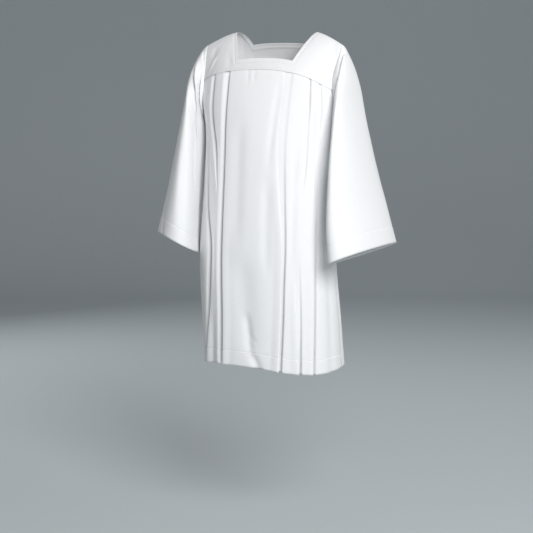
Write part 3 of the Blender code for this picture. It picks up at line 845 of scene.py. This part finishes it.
def ring(side, along, turn, start):
    """Point of a sleeve and its direction from the middle of the section there.

    The armhole's own shape gives way to an oval section, by place along."""
    outer_x, outer_z, inner_x, inner_z, middle_y, half_depth, lean = np.moveaxis(
        through(SECTION, along), -1, 0)
    hang = HANG[side]
    lean = np.radians(lean)
    puff = hang["puffed"] * np.exp(-((along - PUFF_ALONG) / PUFF_WIDTH) ** 2)
    outer_x = outer_x + hang["fuller"] * 4 * along * (1 - along) + puff
    inner_x = inner_x - hang["closer"] * along
    outer_z = outer_z + hang["raised"] * along
    inner_z = inner_z + (hang["raised"] - hang["drop"]) * along
    power = 2 / SLEEVE_ROUNDNESS
    across = np.sign(np.cos(turn)) * np.abs(np.cos(turn)) ** power
    forward = np.sign(np.sin(turn)) * np.abs(np.sin(turn)) ** power
    x = (outer_x + inner_x) / 2 + across * (outer_x - inner_x) / 2 - forward * half_depth * np.sin(lean)
    y = middle_y - forward * half_depth * np.cos(lean)
    z = ((outer_z + inner_z) / 2 + across * (outer_z - inner_z) / 2
         + forward * half_depth * hang["front_lift"] * along)
    spot = np.stack([x, y, z], axis=-1)
    middle = np.stack([(outer_x + inner_x) / 2 + 0.0 * across, middle_y + 0.0 * across,
                       (outer_z + inner_z) / 2 + 0.0 * across], axis=-1)
    away = (spot - middle) / np.linalg.norm(spot - middle, axis=-1, keepdims=True)
    return start + (spot - start) * smooth(along / SLEEVE_BLEND)[..., None], away


def sleeve_cloth(side):
    """Grid of a sleeve.  A crease falls away on the seam's side, steps up to a lip on the far side, and
    the lip is drawn back over it; soft folds are bells across lines that run down the sleeve."""
    sign = 1.0 if side == "left" else -1.0
    start, turn = armhole(side, ARMHOLE_POINTS)
    start[:, 0] *= sign
    start[:, 0] += SEAM_GAP + CLOTH * (1.0 - np.cos(turn))
    length = SLEEVE_LENGTH + LENGTH_SWING * np.cos(turn)[None, :]
    cuff = 1.0 - CUFF_BAND / length
    creased, plain = UPPER_ROWS
    upper = np.concatenate([np.linspace(0.0, CREASED_PART, creased),
                            np.linspace(CREASED_PART, 1.0, plain + 1)[1:]])[:, None]
    stitched = CUFF_STEPS[:, None]
    low = np.linspace(0.0, 1.0, BELOW_ROWS + 1)[1:, None]
    first, last = cuff - CUFF_CLEAR / length, cuff + CUFF_CLEAR / length
    along = np.concatenate([first * upper, cuff + stitched / length, last + (1.0 - last) * low])
    degrees = np.degrees(turn)[None, :] + 0.0 * along
    shifted, out = along.copy(), 0.0 * along
    for row, line in CREASES[side]:
        at = dict(zip(CREASE_COLUMNS, row))
        line = np.array(line)
        window = smooth((degrees - line[0, 0]) / CREASE_EASE)
        window = window * smooth((line[-1, 0] - degrees) / CREASE_EASE)
        far = (along - np.interp(degrees, line[:, 0], line[:, 1])) / at["width"]
        step = smooth(far + 0.5)
        out += window * (at["lip"] * step * np.exp(-(far / LIP_REACH) ** 2)
                         - at["trough"] * (1 - step) * np.exp(-(far / at["reach"]) ** 2))
        shifted -= window * at["over"] * step * np.exp(-(far / OVER_REACH) ** 2)
    for row in SOFT_FOLDS[side]:
        at = dict(zip(SOFT_COLUMNS, row))
        part = (along - at["top"]) / (at["low"] - at["top"])
        line = at["turn_top"] + (at["turn_low"] - at["turn_top"]) * np.clip(part, 0.0, 1.0)
        radius = FOLD_RADIUS[0] + FOLD_RADIUS[1] * along
        reach = radius * np.radians(degrees - line) / at["width"]
        out -= at["depth"] * smooth(part / EASE) * smooth((1 - part) / EASE) * np.exp(-reach ** 2)
    out *= smooth(along / START_EASE)
    from_stitch = (along - cuff) * length
    out += HEM_PROUD * smooth(from_stitch / PROUD_EASE)
    out -= STITCH_DIP * np.exp(-(from_stitch / STITCH_DIP_WIDTH["sleeve"]) ** 2)
    grid, away = ring(side, np.clip(shifted, 0.0, 1.0), turn[None, :], start[None])
    grid = grid + away * out[..., None]
    grid[..., 0] *= sign
    return grid


for side in ("left", "right"):
    sleeve_grid = sleeve_cloth(side)
    sleeve = cloth_piece("sleeve_" + side + "_cloth", sleeve_grid, closed=True, turned=side == "left")
    round_grid = np.concatenate([sleeve_grid, sleeve_grid[:, :1]], axis=1)
    hem_stitches("sleeve_" + side + "_stitches", round_grid, CUFF_ROW, -1.0 if side == "left" else 1.0)
    sleeve.data.materials.append(white_weave)
    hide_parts("sleeve_" + side)
    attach(sleeve, "root")

# ---------------------------------------------------------------------------------------------------
# Studio.  A pale paper floor that turns up into a plain wall, a large soft light in front on the
# wearer's left, a weak one at that side and two behind.

FLOOR_Z = -1.50
AZIMUTH = np.radians(21.0)
DISTANCE = 4.5
EYE_Z = -0.05
AIM_Z = -0.681
PAN = 0.0294
FRAME_WIDTH = 1.56765          # seen at the aim
SENSOR = 36.0                  # in millimetres, as Blender has it
FLOOR_NEAR = -7.0              # the floor from behind the camera to where it turns up
FLOOR_FAR = 4.5
TURN_UP = 1.5
WALL_TOP = 6.0
HALF_WIDE = 8.0

run = np.linspace(0.0, 1.0, 60)
flat_floor = np.linspace(FLOOR_NEAR, FLOOR_FAR, 20)
depth = np.concatenate([flat_floor, FLOOR_FAR + TURN_UP * np.sin(run * np.pi / 2)[1:],
                        [FLOOR_FAR + TURN_UP, FLOOR_FAR + TURN_UP]])
rise = np.concatenate([0.0 * flat_floor, TURN_UP * (1 - np.cos(run * np.pi / 2))[1:],
                       [WALL_TOP / 2, WALL_TOP]])
wide = np.array([-HALF_WIDE, HALF_WIDE])
x, y = np.meshgrid(wide, depth)
z = np.repeat((rise + FLOOR_Z)[:, None], 2, axis=1)
back = np.array([np.cos(AZIMUTH), np.sin(AZIMUTH)])
sweep_points = np.stack([x * back[0] - y * back[1], x * back[1] + y * back[0], z], axis=-1)
sweep_mesh = bpy.data.meshes.new("studio_sweep")
index = np.arange(sweep_points.shape[0] * 2).reshape(-1, 2)
sweep_mesh.from_pydata(sweep_points.reshape(-1, 3), [],
                       np.stack([index[:-1, 0], index[:-1, 1], index[1:, 1], index[1:, 0]], axis=-1))
sweep_mesh.shade_smooth()
sweep = bpy.data.objects.new("studio_sweep", sweep_mesh)
bpy.context.collection.objects.link(sweep)
paper = bpy.data.materials.new("pale_paper")
paper.use_nodes = True
paper_shader = paper.node_tree.nodes["Principled BSDF"]
paper_shader.inputs["Base Color"].default_value = (0.52, 0.565, 0.585, 1.0)
paper_shader.inputs["Roughness"].default_value = 0.9
sweep_mesh.materials.append(paper)


def look_at(thing, place, target):
    """Place a camera or light and turn it to face a point."""
    thing.location = place
    thing.rotation_euler = (Vector(target) - Vector(place)).to_track_quat("-Z", "Y").to_euler()


def soft_light(name, turn, height, distance, size, power):
    """Square area light at a turn round the figure from its front, aimed at the chest."""
    light = bpy.data.lights.new(name, "AREA")
    light.shape = "SQUARE"
    light.size = size
    light.energy = power
    lamp = bpy.data.objects.new(name, light)
    bpy.context.collection.objects.link(lamp)
    turn = np.radians(turn)
    look_at(lamp, (distance * np.sin(turn), -distance * np.cos(turn), height), (0.0, 0.0, -0.45))


soft_light("key", turn=37.0, height=1.25, distance=3.6, size=1.6, power=138.0)
soft_light("side", turn=84.0, height=0.9, distance=3.4, size=1.6, power=5.0)
soft_light("fill", turn=-128.0, height=0.5, distance=3.6, size=2.0, power=30.0)
soft_light("rim", turn=160.0, height=1.6, distance=3.0, size=1.6, power=30.0)

world = bpy.data.worlds.new("studio_air")
world.use_nodes = True
air = world.node_tree.nodes["Background"]
air.inputs["Color"].default_value = (0.95, 0.98, 1.0, 1.0)
air.inputs["Strength"].default_value = 0.215
bpy.context.scene.world = world
bpy.context.scene.view_settings.view_transform = "Standard"

camera = bpy.data.cameras.new("camera")
camera_stand = bpy.data.objects.new("camera", camera)
bpy.context.collection.objects.link(camera_stand)
side_step = PAN * np.array([np.cos(AZIMUTH), np.sin(AZIMUTH), 0.0])
eye = np.array([DISTANCE * np.sin(AZIMUTH), -DISTANCE * np.cos(AZIMUTH), EYE_Z]) - side_step
aim = np.array([0.0, 0.0, AIM_Z]) - side_step
look_at(camera_stand, eye, aim)
camera.sensor_width = SENSOR
camera.lens = SENSOR * float(np.linalg.norm(aim - eye)) / FRAME_WIDTH
bpy.context.scene.camera = camera_stand
